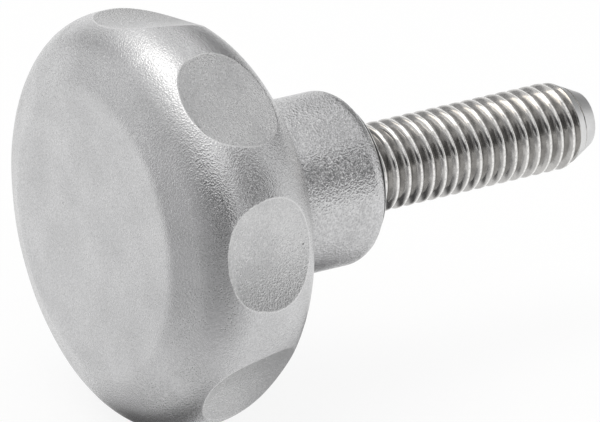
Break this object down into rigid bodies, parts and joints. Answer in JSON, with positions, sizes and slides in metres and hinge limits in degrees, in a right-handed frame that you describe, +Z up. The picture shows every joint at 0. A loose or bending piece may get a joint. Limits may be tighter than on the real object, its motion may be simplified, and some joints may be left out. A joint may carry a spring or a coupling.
{
  "type": "star knob",
  "caption": "Round cast metal hand knob with a flat face and a sloped shoulder, concave finger scallops round the rim, a plain hub and a threaded stud for clamping by hand.",
  "frame": {"origin": "centre of the turned seat on the hub's end, where the stud comes out", "axes": "+Y along the stud toward its tip, -Y out of the flat face, +Z up"},
  "size_m": [0.0362, 0.0506, 0.0362],
  "materials": {
    "blasted_steel": "matte blasted casting",
    "bright_steel": "bright rolled thread"
  },
  "bodies": {
    "root": {"knob_body": "blasted_steel", "threaded_stud": "bright_steel"}
  },
  "joints": []
}
